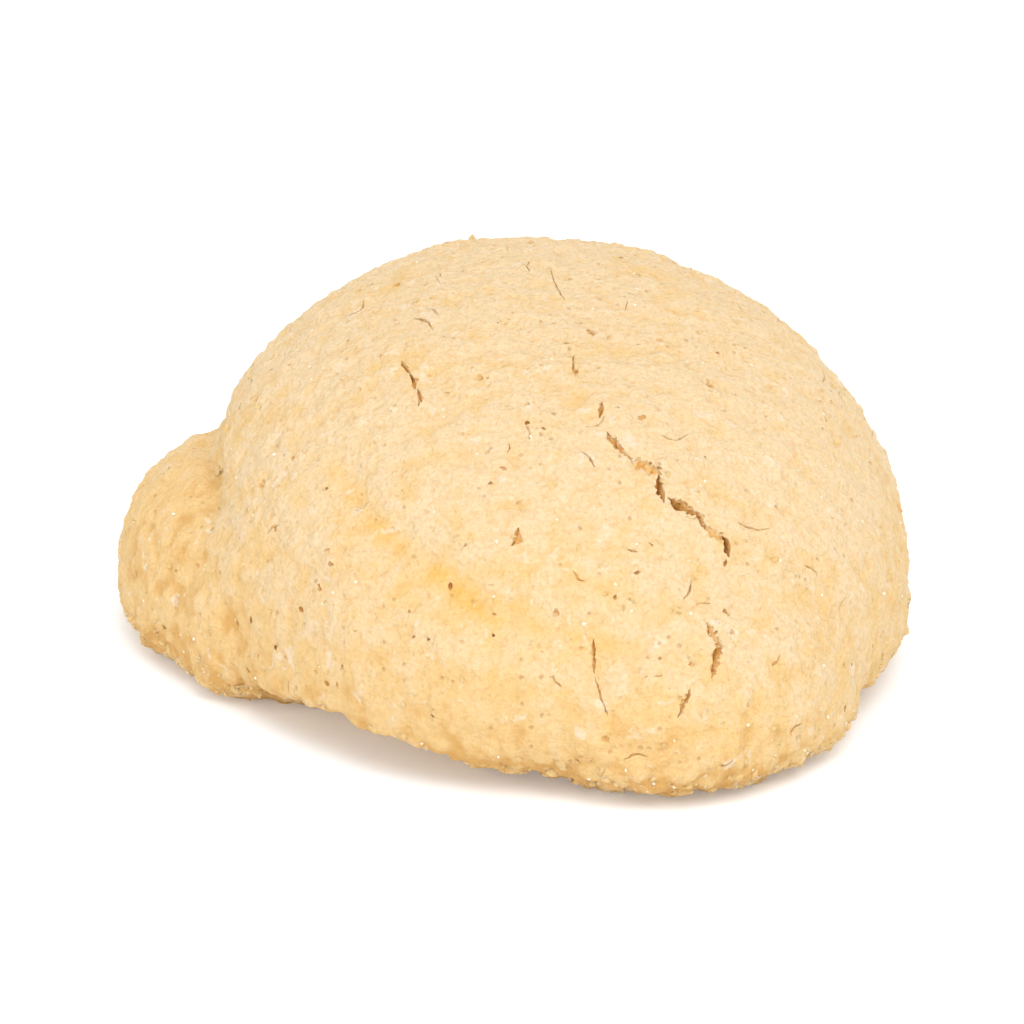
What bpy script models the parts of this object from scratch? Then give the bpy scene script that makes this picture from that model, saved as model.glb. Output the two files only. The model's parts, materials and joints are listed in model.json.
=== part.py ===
"""Shortbread biscuit: one plump, domed piece of baked dough with a smaller lobe run into its left side.

Metres, +Z up. The biscuit lies on its flat base. The origin is on that base, under the middle of the biscuit's
box. -Y is the side that is shown, and +X is the right of it. Lengths below are in millimetres where they are
named constants, and become metres as the shapes are made.
"""

import math
import random

import bmesh
import bpy
from mathutils import Matrix, Vector
from mathutils.bvhtree import BVHTree

MM = 0.001
NAME = "shortbread_biscuit"

# Mounds run together: the web fills the corner between lobe and dome, and the foot spreads the dome's front.
# Each is a superellipse above its belly, which is its widest level, and another below.
DOME = {"centre": (0.3, -1.2), "radii": (24.7, 30.2), "height": 25.5, "belly": 4.7, "fullness": 2.3,
        "lean": (-0.01, 0.06), "slant": -0.06}
LOBE = {"centre": (-13.1, 2.2), "radii": (16.6, 16.4), "height": 13.9, "belly": 3.0, "fullness": 2.8}
WEB = {"centre": (-14.2, -5.6), "radii": (12.0, 10.6), "height": 12.0, "belly": 3.2, "fullness": 2.4}
FOOT = {"centre": (7.6, -14.8), "radii": (14.2, 18.5), "height": 16.5, "belly": 3.6, "fullness": 2.2}
UNDER_FULLNESS = 3.0
SUNK = 0.7
PROFILE_STEPS = 14
TURN_STEPS = 72

# The rim is lifted off the table at the front left, by a hollow that runs along it.
ARCH_CENTRE = (-13.5, -22.5, -0.4)
ARCH_RADII = (12.0, 7.0, 3.8)
ARCH_TURN = math.radians(-38)

SKIN_VOXEL = 0.55
SKIN_SMOOTHING = 12

# Slow waves of the dough, and the crags on them: size across, and height from hollow to top.
WAVES = (9.0, 0.9)
CRAGS = (3.0, 0.55)

# Marks on the skin are given as they are seen from a side, from this far above the level: across and up, in a
# plane square to the line of sight, from the point on the table under the middle of the mounds.
SIGHT_RISE = math.radians(21.0)

# The crease falls steeply from its left end and flattens: its height over across is a falling exponential.
CREASE_SPAN = (-12.8, 2.5)
CREASE_DROP = 11.9
CREASE_RUN = 10.1
CREASE_FOOT = -2.5
CREASE_DEPTH = 0.6
CREASE_WIDTH = 2.3
CREASE_SWELL = 0.45
CREASE_FADE = 2.2

# Cracks of the shown side: corners, width at the skin, depth.
CRACKS = [
    ([(3.7, 15.9), (5.7, 12.0), (7.5, 11.4), (7.9, 9.3), (10.5, 8.4), (12.4, 6.2), (12.1, 5.2)], 0.85, 1.3),
    ([(-9.7, 18.8), (-8.7, 17.1), (-8.8, 15.9)], 0.60, 0.9),
    ([(11.0, 1.0), (11.9, -0.7), (11.2, -2.3)], 0.70, 1.0),
    ([(3.2, 0.0), (3.2, -2.1), (4.0, -5.0)], 0.45, 0.7),
    ([(9.6, -3.4), (8.8, -5.2)], 0.50, 0.7),
    ([(0.4, 25.4), (0.6, 24.2), (1.3, 23.3)], 0.40, 0.6),
]
CRACK_STEP = 0.95
CRACK_JAG = 0.24
CRACK_RISE = 0.35

# The sides that aren't shown have cracks and pits of the same kinds, at random.
HIDDEN_SIDES = (math.radians(125), math.radians(235))
HIDDEN_REACH = 17.0
HIDDEN_LEVELS = (-3.0, 12.0)
HIDDEN_CRACKS = 7
HIDDEN_CRACK_SIZE = (2.0, 5.0)
HIDDEN_CRACK_CUT = (0.6, 0.9)

# Pits of the shown side: across, up and width.
PITS = [(3.2, 21.2, 1.1), (1.4, 20.2, 0.8), (2.0, 18.2, 0.8), (-2.1, 6.7, 1.0), (6.1, 4.6, 0.8), (4.5, 2.8, 0.7),
        (-2.9, 11.6, 0.7), (-17.4, 12.3, 0.8), (-18.5, 7.5, 0.8), (-9.3, 1.9, 0.7), (-1.3, 14.7, 0.9),
        (0.4, 15.5, 0.7), (-6.4, 3.6, 0.8), (-14.6, 5.2, 0.8), (-16.7, 2.1, 0.7), (-18.5, -0.6, 0.7)]
HIDDEN_PITS = 22
PIT_WIDTH = (0.7, 1.1)

BODY_TRIANGLES = 7700
CRUMBS = 66
CRUMB_WIDTH = (0.8, 1.7)
CRUMB_LEVELS = (0.4, 3.4)
SEED = 11

DOUGH_COLOUR = (0.82, 0.60, 0.33, 1.0)
DOUGH_ROUGHNESS = 0.85


def clear_scene():
    """Removes what the file starts with."""
    for obj in list(bpy.data.objects):
        bpy.data.objects.remove(obj)


def new_collection(name):
    """A collection linked into the scene."""
    made = bpy.data.collections.new(name)
    bpy.context.scene.collection.children.link(made)
    return made


def emptied(home):
    """Removes the collection's objects, which have done their work."""
    for obj in list(home.objects):
        bpy.data.objects.remove(obj)


def dough():
    """The matt, pale golden dough."""
    material = bpy.data.materials.new("dough")
    material.use_nodes = True
    shader = material.node_tree.nodes["Principled BSDF"]
    shader.inputs["Base Color"].default_value = DOUGH_COLOUR
    shader.inputs["Roughness"].default_value = DOUGH_ROUGHNESS
    shader.inputs["Metallic"].default_value = 0.0
    return material


def mesh_object(name, home, mesh):
    """An object with this mesh, in this collection."""
    obj = bpy.data.objects.new(name, mesh)
    home.objects.link(obj)
    return obj


def applied(obj):
    """Gives the object the mesh that its modifiers make of it, and takes them off."""
    graph = bpy.context.evaluated_depsgraph_get()
    mesh = bpy.data.meshes.new_from_object(obj.evaluated_get(graph))
    obj.modifiers.clear()
    obj.data = mesh


def mound_profile(height, belly, fullness):
    """Reach and level of a mound's outline, from its top, out to the belly and in again under it."""
    above, below = [], []
    for step in range(PROFILE_STEPS + 1):
        turn = math.pi / 2 * step / PROFILE_STEPS
        reach = math.sin(turn)
        rise = math.cos(turn)
        above.append((reach ** (2 / fullness), belly + (height - belly) * rise ** (2 / fullness)))
        under_reach = rise ** (2 / UNDER_FULLNESS)
        below.append((under_reach, belly - (belly + SUNK) * reach ** (2 / UNDER_FULLNESS)))
    return above + below[1:]


def mound(name, home, centre, radii, height, belly, fullness, lean=(0.0, 0.0), slant=0.0):
    """A turned mound stretched to its two radii. Its top leans along X and Y, and its plan slants."""
    profile = mound_profile(height, belly, fullness)
    mesh = bpy.data.meshes.new(name)
    mesh.from_pydata([(x, 0, z) for x, z in profile], [(i, i + 1) for i in range(len(profile) - 1)], [])
    obj = mesh_object(name, home, mesh)
    screw = obj.modifiers.new("turn", "SCREW")
    screw.steps = screw.render_steps = TURN_STEPS
    screw.use_merge_vertices = True
    screw.merge_threshold = 0.0001
    applied(obj)
    for vertex in obj.data.vertices:
        x, y, z = vertex.co
        y *= radii[1]
        x = x * radii[0] + slant * y
        share = max(0.0, z - belly) / (height - belly)
        vertex.co = (x + centre[0], y + centre[1], z + share * (lean[0] * x + lean[1] * y))
    obj.data.transform(Matrix.Scale(MM, 4))
    return obj


def ball(name, home, place, radii, subdivisions):
    """A ball or egg shape at a place, in metres."""
    bm = bmesh.new()
    bmesh.ops.create_icosphere(bm, subdivisions=subdivisions, radius=1.0)
    bmesh.ops.transform(bm, matrix=Matrix.Translation(place) @ Matrix.Diagonal((*radii, 1.0)), verts=bm.verts)
    mesh = bpy.data.meshes.new(name)
    bm.to_mesh(mesh)
    bm.free()
    return mesh_object(name, home, mesh)


def boolean(obj, operation, operand, solver="EXACT"):
    """Adds a Boolean with an object or a whole collection."""
    made = obj.modifiers.new(operation.lower(), "BOOLEAN")
    made.operation = operation
    made.solver = solver
    if isinstance(operand, bpy.types.Collection):
        made.operand_type = "COLLECTION"
        made.collection = operand
    else:
        made.object = operand
    return made


def skinned(obj):
    """Skins the joined mounds evenly and softens the creases between them."""
    skin = obj.modifiers.new("skin", "REMESH")
    skin.mode = "VOXEL"
    skin.voxel_size = SKIN_VOXEL * MM
    soften = obj.modifiers.new("soften", "SMOOTH")
    soften.factor = 0.5
    soften.iterations = SKIN_SMOOTHING


def line_of_sight(azimuth):
    """Across, up and forward directions of the view from a side, turned from the shown one by the azimuth."""
    turn = Matrix.Rotation(azimuth, 3, "Z")
    across = turn @ Vector((1.0, 0.0, 0.0))
    up = turn @ Vector((0.0, math.sin(SIGHT_RISE), math.cos(SIGHT_RISE)))
    forward = turn @ Vector((0.0, math.cos(SIGHT_RISE), -math.sin(SIGHT_RISE)))
    return across, up, forward


def crease_offset(across, up):
    """How far the skin moves out at this place of the shown side: in along the crease, out just below it."""
    fall = CREASE_DROP * math.exp((CREASE_SPAN[0] - across) / CREASE_RUN)
    apart = (up - CREASE_FOOT - fall) / math.hypot(1.0, fall / CREASE_RUN)
    beyond = max(0.0, CREASE_SPAN[0] - across, across - CREASE_SPAN[1])
    groove = CREASE_DEPTH * math.exp(-(apart / CREASE_WIDTH) ** 2)
    swell = CREASE_SWELL * math.exp(-((apart / CREASE_WIDTH + 2.4) / 1.5) ** 2)
    return (swell - groove) * math.exp(-(beyond / CREASE_FADE) ** 2)


def press_crease(obj):
    """Presses the soft crease into the shown side, and swells the dough just below it."""
    across, up, forward = line_of_sight(0.0)
    normals = [vertex.normal.copy() for vertex in obj.data.vertices]
    for vertex, normal in zip(obj.data.vertices, normals):
        facing = min(1.0, max(0.0, -2 * normal.dot(forward)))
        place = vertex.co / MM
        vertex.co += normal * (facing * crease_offset(place.dot(across), place.dot(up)) * MM)


def rough(obj, name, size, height):
    """Raises and lowers the skin by a noise of one size."""
    texture = bpy.data.textures.new(name, "CLOUDS")
    texture.noise_scale = size * MM
    texture.noise_depth = 1
    texture.noise_basis = "IMPROVED_PERLIN"
    relief = obj.modifiers.new(name, "DISPLACE")
    relief.texture = texture
    relief.texture_coords = "LOCAL"
    relief.strength = height * MM
    relief.mid_level = 0.5


def thinned(obj, triangles):
    """Brings the skin down to about this many triangles."""
    now = sum(len(face.vertices) - 2 for face in obj.data.polygons)
    thin = obj.modifiers.new("thin", "DECIMATE")
    thin.ratio = triangles / now


def skin_tree(obj):
    """The skin to drop marks on."""
    bm = bmesh.new()
    bm.from_mesh(obj.data)
    tree = BVHTree.FromBMesh(bm)
    bm.free()
    return tree


def dropped(tree, azimuth, across, up):
    """The point of the skin seen at this place from a side, and the skin's normal there, or nothing."""
    x_way, up_way, forward = line_of_sight(azimuth)
    start = (x_way * across + up_way * up) * MM - forward
    place, normal, _, _ = tree.ray_cast(start, forward)
    return place, normal


def jagged(corners, rng):
    """The corners joined by short steps that stray a little to either side."""
    points = []
    for start, end in zip(corners, corners[1:]):
        start, end = Vector(start), Vector(end)
        along = end - start
        aside = Vector((-along.y, along.x)).normalized()
        steps = max(1, round(along.length / CRACK_STEP))
        for step in range(steps):
            stray = rng.uniform(-CRACK_JAG, CRACK_JAG) if step else 0.0
            points.append(start + along * (step / steps) + aside * stray)
    points.append(Vector(corners[-1]))
    return points


def crack_blade(name, home, tree, azimuth, corners, width, depth, rng):
    """A jagged wedge that follows the skin, edge down, thin at both ends."""
    spots = [dropped(tree, azimuth, point.x, point.y) for point in jagged(corners, rng)]
    spots = [(place, normal) for place, normal in spots if place is not None]
    last = len(spots) - 1
    if last < 1:
        return
    bm = bmesh.new()
    rows = []
    for index, (place, normal) in enumerate(spots):
        ahead = spots[min(last, index + 1)][0] - spots[max(0, index - 1)][0]
        aside = normal.cross(ahead).normalized()
        size = (0.3 + 0.7 * math.sin(math.pi * index / last)) * rng.uniform(0.75, 1.25)
        deep = depth * size * MM
        rise = CRACK_RISE * MM
        half = width / 2 * size * MM * (deep + rise) / deep
        top = place + normal * rise
        rows.append([bm.verts.new(co) for co in (top - aside * half, top + aside * half, place - normal * deep)])
    for before, after in zip(rows, rows[1:]):
        for side in range(3):
            other = (side + 1) % 3
            bm.faces.new((before[side], before[other], after[other], after[side]))
    bm.faces.new(rows[0])
    bm.faces.new(rows[-1])
    bmesh.ops.triangulate(bm, faces=bm.faces)
    bmesh.ops.recalc_face_normals(bm, faces=bm.faces)
    mesh = bpy.data.meshes.new(name)
    bm.to_mesh(mesh)
    bm.free()
    mesh_object(name, home, mesh)


def wandering(rng):
    """Corners of a short crack on a side that isn't shown, and the azimuth it is seen from."""
    azimuth = rng.uniform(*HIDDEN_SIDES)
    heading = rng.uniform(-math.pi, math.pi)
    step = rng.uniform(*HIDDEN_CRACK_SIZE) / 2
    corners = [Vector((rng.uniform(-HIDDEN_REACH, HIDDEN_REACH), rng.uniform(*HIDDEN_LEVELS)))]
    for _ in range(2):
        heading += rng.uniform(-0.7, 0.7)
        corners.append(corners[-1] + Vector((math.cos(heading), math.sin(heading))) * step)
    return azimuth, corners


def make_marks(home, tree, rng):
    """The wedges and balls that cut the cracks and pits."""
    for number, (corners, width, depth) in enumerate(CRACKS):
        crack_blade(f"crack_{number}", home, tree, 0.0, corners, width, depth, rng)
    for number in range(HIDDEN_CRACKS):
        azimuth, corners = wandering(rng)
        crack_blade(f"hidden_crack_{number}", home, tree, azimuth, corners, *HIDDEN_CRACK_CUT, rng)
    pits = [(0.0, *pit) for pit in PITS]
    for _ in range(HIDDEN_PITS):
        place = (rng.uniform(-HIDDEN_REACH, HIDDEN_REACH), rng.uniform(*HIDDEN_LEVELS))
        pits.append((rng.uniform(*HIDDEN_SIDES), *place, rng.uniform(*PIT_WIDTH)))
    for number, (azimuth, across, up, width) in enumerate(pits):
        place, normal = dropped(tree, azimuth, across, up)
        if place is not None:
            radius = width / 2 * MM
            ball(f"pit_{number}", home, place + normal * radius * 0.15, (radius,) * 3, 1)


def make_crumbs(home, tree, rng):
    """Crumbs half sunk in the rim, spread evenly round it, the largest first."""
    sizes = sorted((rng.uniform(*CRUMB_WIDTH) for _ in range(CRUMBS)), reverse=True)
    golden = math.pi * (3 - math.sqrt(5))
    for number, width in enumerate(sizes):
        turn = number * golden + rng.uniform(-0.05, 0.05)
        level = CRUMB_LEVELS[0] + (CRUMB_LEVELS[1] - CRUMB_LEVELS[0]) * rng.random() ** 2
        outward = Vector((math.cos(turn), math.sin(turn), 0.0))
        place, normal, _, _ = tree.ray_cast(outward * 0.06 + Vector((0, 0, level * MM)), -outward)
        if place is None:
            continue
        radii = [width / 2 * rng.uniform(0.7, 1.15) * MM for _ in range(3)]
        crumb = ball(f"crumb_{number}", home, (0, 0, 0), radii, 1)
        spin = Vector([rng.uniform(-1, 1) for _ in range(3)]).normalized()
        crumb.data.transform(Matrix.Rotation(rng.uniform(0, math.pi), 4, spin))
        crumb.data.transform(Matrix.Translation(place - normal * min(radii) * 0.4))


def cut_flat(obj):
    """Cuts the base flat at the table and closes it."""
    bm = bmesh.new()
    bm.from_mesh(obj.data)
    everything = bm.verts[:] + bm.edges[:] + bm.faces[:]
    bmesh.ops.bisect_plane(bm, geom=everything, dist=1e-7, plane_co=(0, 0, 0), plane_no=(0, 0, 1), clear_inner=True)
    bmesh.ops.edgeloop_fill(bm, edges=[edge for edge in bm.edges if edge.is_boundary])
    bmesh.ops.dissolve_degenerate(bm, dist=0.01 * MM, edges=bm.edges[:])
    bmesh.ops.triangulate(bm, faces=bm.faces[:])
    bmesh.ops.recalc_face_normals(bm, faces=bm.faces[:])
    bm.to_mesh(obj.data)
    bm.free()


def centred(obj):
    """Moves the mesh so that the middle of its box is over the origin."""
    for axis in range(2):
        values = [vertex.co[axis] for vertex in obj.data.vertices]
        middle = (min(values) + max(values)) / 2
        for vertex in obj.data.vertices:
            vertex.co[axis] -= middle


def main():
    clear_scene()
    rng = random.Random(SEED)
    parts = new_collection(NAME)
    helpers = new_collection("helpers")
    biscuit = mound("biscuit", parts, **DOME)
    mound("lobe", helpers, **LOBE)
    mound("web", helpers, **WEB)
    mound("foot", helpers, **FOOT)
    boolean(biscuit, "UNION", helpers)
    applied(biscuit)
    emptied(helpers)
    arch = ball("arch", helpers, (0, 0, 0), Vector(ARCH_RADII) * MM, 3)
    arch.data.transform(Matrix.Translation(Vector(ARCH_CENTRE) * MM) @ Matrix.Rotation(ARCH_TURN, 4, "Z"))
    boolean(biscuit, "DIFFERENCE", arch)
    skinned(biscuit)
    applied(biscuit)
    emptied(helpers)
    press_crease(biscuit)
    rough(biscuit, "waves", *WAVES)
    rough(biscuit, "crags", *CRAGS)
    applied(biscuit)
    thinned(biscuit, BODY_TRIANGLES)
    applied(biscuit)
    tree = skin_tree(biscuit)
    make_marks(helpers, tree, rng)
    boolean(biscuit, "DIFFERENCE", helpers)
    applied(biscuit)
    emptied(helpers)
    make_crumbs(helpers, tree, rng)
    boolean(biscuit, "UNION", helpers)
    applied(biscuit)
    emptied(helpers)
    cut_flat(biscuit)
    centred(biscuit)
    bpy.data.collections.remove(helpers)
    biscuit.data.materials.clear()
    biscuit.data.materials.append(dough())


main()
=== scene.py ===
"""The looks of a shortbread biscuit: its crumbly dough, cracks, pits, crumbs and sugar, on a pale floor.

The biscuit is a plump dome with a smaller lobe run into its left side. Its form is made from the same sizes
as its solid, then cut and roughened much finer. The sizes that the classes hold are millimetres, unless they
say metres. All meshes are in metres, +Z up, with the shown side facing -Y.
"""

import json
import logging
import math
from dataclasses import dataclass, field
from enum import Enum

import bpy
import numpy as np
from mathutils import Matrix, Vector
from mathutils.bvhtree import BVHTree

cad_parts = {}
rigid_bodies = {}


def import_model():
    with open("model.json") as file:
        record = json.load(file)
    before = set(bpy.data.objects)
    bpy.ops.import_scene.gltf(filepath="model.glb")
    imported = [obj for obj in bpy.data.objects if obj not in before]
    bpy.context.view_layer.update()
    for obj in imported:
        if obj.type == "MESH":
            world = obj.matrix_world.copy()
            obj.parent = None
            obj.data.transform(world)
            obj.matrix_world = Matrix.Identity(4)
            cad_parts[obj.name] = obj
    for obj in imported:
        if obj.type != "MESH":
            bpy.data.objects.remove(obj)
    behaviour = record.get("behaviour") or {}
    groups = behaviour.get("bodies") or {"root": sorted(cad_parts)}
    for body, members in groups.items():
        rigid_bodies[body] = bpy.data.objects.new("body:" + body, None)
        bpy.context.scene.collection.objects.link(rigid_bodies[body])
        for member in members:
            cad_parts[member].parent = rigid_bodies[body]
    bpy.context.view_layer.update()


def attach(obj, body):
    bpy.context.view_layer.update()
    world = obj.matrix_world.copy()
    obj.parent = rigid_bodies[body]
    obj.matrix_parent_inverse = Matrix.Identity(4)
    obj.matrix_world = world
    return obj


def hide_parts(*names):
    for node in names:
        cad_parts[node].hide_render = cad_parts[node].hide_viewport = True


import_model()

LOG = logging.getLogger("biscuit")
MM = 0.001
Colour = tuple[float, float, float, float]
NODE = "biscuit"
BODY = "root"

# Where the middle of the biscuit's box is moved from the middle of its mounds, in mm.
CENTRING = Vector((2.336, 2.256, 0.0))
SIGHT_RISE = math.radians(21.0)
# How far patterns are moved, in metres, so that the biscuit is nowhere at their start.
PATTERN_SHIFT = (0.03, 0.03, 0.03)


class Join(Enum):
    """What a Boolean does with its other piece."""

    ADD = "UNION"
    CUT = "DIFFERENCE"


class Solver(Enum):
    """How a Boolean is worked out."""

    EXACT = "EXACT"
    FAST = "MANIFOLD"


class Pattern(Enum):
    """What a noise looks like."""

    CLOUDS = "CLOUDS"
    GRAINS = "VORONOI"


# Modelling helpers


def deselect() -> None:
    bpy.ops.object.select_all(action="DESELECT")


def pick(piece: bpy.types.Object) -> None:
    """Makes a piece the only selected object, and the active one.

    Args:
        piece: What is selected.
    """
    deselect()
    piece.select_set(True)
    bpy.context.view_layer.objects.active = piece


def apply_all(piece: bpy.types.Object) -> None:
    """Applies a piece's modifiers in their order.

    Args:
        piece: What carries them.
    """
    pick(piece)
    for name in [modifier.name for modifier in piece.modifiers]:
        bpy.ops.object.modifier_apply(modifier=name)


def rows_of(items: bpy.types.bpy_prop_collection, name: str, width: int = 3) -> np.ndarray:
    """Reads a property of vertices or faces.

    Args:
        items: The vertices or faces.
        name: Blender's name of the property.
        width: How many numbers each has.

    Returns:
        A row for each.
    """
    flat = np.empty(len(items) * width)
    items.foreach_get(name, flat)
    return flat.reshape(-1, width)


def points_of(piece: bpy.types.Object) -> np.ndarray:
    """The piece's vertices as rows of x, y and z, in metres."""
    return rows_of(piece.data.vertices, "co")


def normals_of(piece: bpy.types.Object) -> np.ndarray:
    """The piece's vertex normals as rows."""
    return rows_of(piece.data.vertex_normals, "vector")


def move_points(piece: bpy.types.Object, points: np.ndarray) -> None:
    """Puts the piece's vertices at these rows."""
    piece.data.vertices.foreach_set("co", points.ravel())
    piece.data.update()


def mesh_piece(name: str, points: np.ndarray, faces: list) -> bpy.types.Object:
    """Makes an object from rows of points and lists of corners.

    Args:
        name: The object's name.
        points: Rows of x, y and z, in metres.
        faces: Corner numbers of each face.

    Returns:
        The object, linked into the scene.
    """
    mesh = bpy.data.meshes.new(name)
    mesh.from_pydata(points.tolist(), [], faces)
    mesh.update()
    piece = bpy.data.objects.new(name, mesh)
    bpy.context.scene.collection.objects.link(piece)
    return piece


def cut_or_join(piece: bpy.types.Object, other: bpy.types.Object, join: Join, solver: Solver) -> None:
    """Applies a Boolean to the piece and removes the other one.

    Args:
        piece: What is cut or added to.
        other: The tool, which is used up.
        join: Whether it is added or cut away.
        solver: How the Boolean is worked out.
    """
    boolean = piece.modifiers.new("boolean", "BOOLEAN")
    boolean.operation = join.value
    boolean.solver = solver.value
    boolean.object = other
    apply_all(piece)
    bpy.data.objects.remove(other)


@dataclass(frozen=True)
class Noise:
    """A noise that raises and lowers a skin. Its height goes from hollow to top; sizes in mm."""

    name: str
    size: float
    height: float
    depth: int = 1
    pattern: Pattern = Pattern.CLOUDS
    group: str = ""


def roughen(piece: bpy.types.Object, noise: Noise) -> None:
    """Raises and lowers the piece's skin by a noise.

    Args:
        piece: What is roughened.
        noise: The noise. Grains with a height below nothing stand out of the skin, rounded.
    """
    texture = bpy.data.textures.new(noise.name, noise.pattern.value)
    texture.noise_scale = noise.size * MM
    if noise.pattern is Pattern.CLOUDS:
        texture.noise_depth = noise.depth
        texture.noise_basis = "IMPROVED_PERLIN"
    relief = piece.modifiers.new(noise.name, "DISPLACE")
    relief.texture = texture
    relief.texture_coords = "LOCAL"
    relief.vertex_group = noise.group
    relief.strength = noise.height * MM
    relief.mid_level = 0.5
    apply_all(piece)


def bell(value: np.ndarray, reach: float | np.ndarray) -> np.ndarray:
    """1 at nothing, falling off softly over the reach."""
    return np.exp(-((value / reach) ** 2))


def smooth_step(low: float, high: float, value: np.ndarray) -> np.ndarray:
    """Rises softly from 0 at low to 1 at high."""
    share = np.clip((value - low) / (high - low), 0.0, 1.0)
    return share * share * (3 - 2 * share)


def random_turn(rng: np.random.Generator, most: float) -> np.ndarray:
    """A turn about a random axis.

    Args:
        rng: The random draws.
        most: The largest angle, in radians.

    Returns:
        The turn as three rows.
    """
    angle = rng.uniform(0, most)
    return np.array(Matrix.Rotation(angle, 3, Vector(rng.normal(size=3)).normalized()))


def triangles(piece: bpy.types.Object) -> int:
    """How many triangles the piece's faces make."""
    return sum(len(face.vertices) - 2 for face in piece.data.polygons)


def tree_of(piece: bpy.types.Object) -> BVHTree:
    """The piece's surface, to drop things on."""
    faces = [tuple(face.vertices) for face in piece.data.polygons]
    return BVHTree.FromPolygons([tuple(point) for point in points_of(piece)], faces)


# The relief, from coarse to fine: the dough's own, which its solid has too, and then the crumb's.
DOUGH_RELIEF = (Noise("waves", 9.0, 0.9), Noise("crags", 3.0, 0.55))
CRUMB_RELIEF = (
    Noise("ragged", 2.4, 0.70, 2, group="rim"),
    Noise("clods", 1.2, -0.55, pattern=Pattern.GRAINS, group="rim"),
    Noise("granules", 1.15, -0.36, pattern=Pattern.GRAINS),
    Noise("lumps", 2.3, 0.42),
    Noise("crumb", 1.1, 0.46, 2),
    Noise("sand", 0.6, 0.24),
)


# The body's form


@dataclass(frozen=True)
class Mound:
    """A heap of dough: a superellipse above its belly, its widest level, and another below. Sizes in mm."""

    centre: tuple[float, float]
    radii: tuple[float, float]
    height: float
    belly: float
    fullness: float
    lean: tuple[float, float] = (0.0, 0.0)
    slant: float = 0.0
    under_fullness: float = 3.0
    sunk: float = 0.7

    def build(self, name: str) -> bpy.types.Object:
        """Shapes a round ball into the mound.

        Args:
            name: The object's name.

        Returns:
            The mound, closed, in metres.
        """
        deselect()
        bpy.ops.mesh.primitive_uv_sphere_add(segments=72, ring_count=56, radius=1.0, location=(0, 0, 0))
        ball = bpy.context.active_object
        ball.name = name
        points = points_of(ball)
        level = np.clip(points[:, 2], -1.0, 1.0)
        spread = np.sqrt(1.0 - level**2)
        turn = np.arctan2(points[:, 1], points[:, 0])
        above = level >= 0
        power = np.where(above, 2 / self.fullness, 2 / self.under_fullness)
        reach = spread**power
        rise = np.abs(level) ** power
        height = np.where(
            above,
            self.belly + (self.height - self.belly) * rise,
            self.belly - (self.belly + self.sunk) * rise,
        )
        back = reach * np.sin(turn) * self.radii[1]
        side = reach * np.cos(turn) * self.radii[0] + self.slant * back
        share = np.clip(height - self.belly, 0.0, None) / (self.height - self.belly)
        height = height + share * (self.lean[0] * side + self.lean[1] * back)
        shaped = np.stack([side + self.centre[0], back + self.centre[1], height], axis=1)
        move_points(ball, shaped * MM)
        return ball


@dataclass(frozen=True)
class Sight:
    """A side that the biscuit is seen from. Marks are given across and up in a plane square to it."""

    azimuth: float = 0.0

    def ways(self) -> tuple[Vector, Vector, Vector]:
        """The view's directions.

        Returns:
            The across, up and forward directions.
        """
        turn = Matrix.Rotation(self.azimuth, 3, "Z")
        across = turn @ Vector((1.0, 0.0, 0.0))
        up = turn @ Vector((0.0, math.sin(SIGHT_RISE), math.cos(SIGHT_RISE)))
        forward = turn @ Vector((0.0, math.cos(SIGHT_RISE), -math.sin(SIGHT_RISE)))
        return across, up, forward

    def drop(self, tree: BVHTree, across: float, up: float) -> tuple[Vector | None, Vector | None]:
        """Finds the point of a surface that is seen at a place.

        Args:
            tree: The surface.
            across: Place to the right of the mounds' middle, in mm.
            up: Place above it in the view, in mm.

        Returns:
            The point and the surface's normal there, or nothing for both.
        """
        x_way, up_way, forward = self.ways()
        start = (x_way * across + up_way * up) * MM - forward
        place, normal, _, _ = tree.ray_cast(start, forward)
        return place, normal


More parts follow.
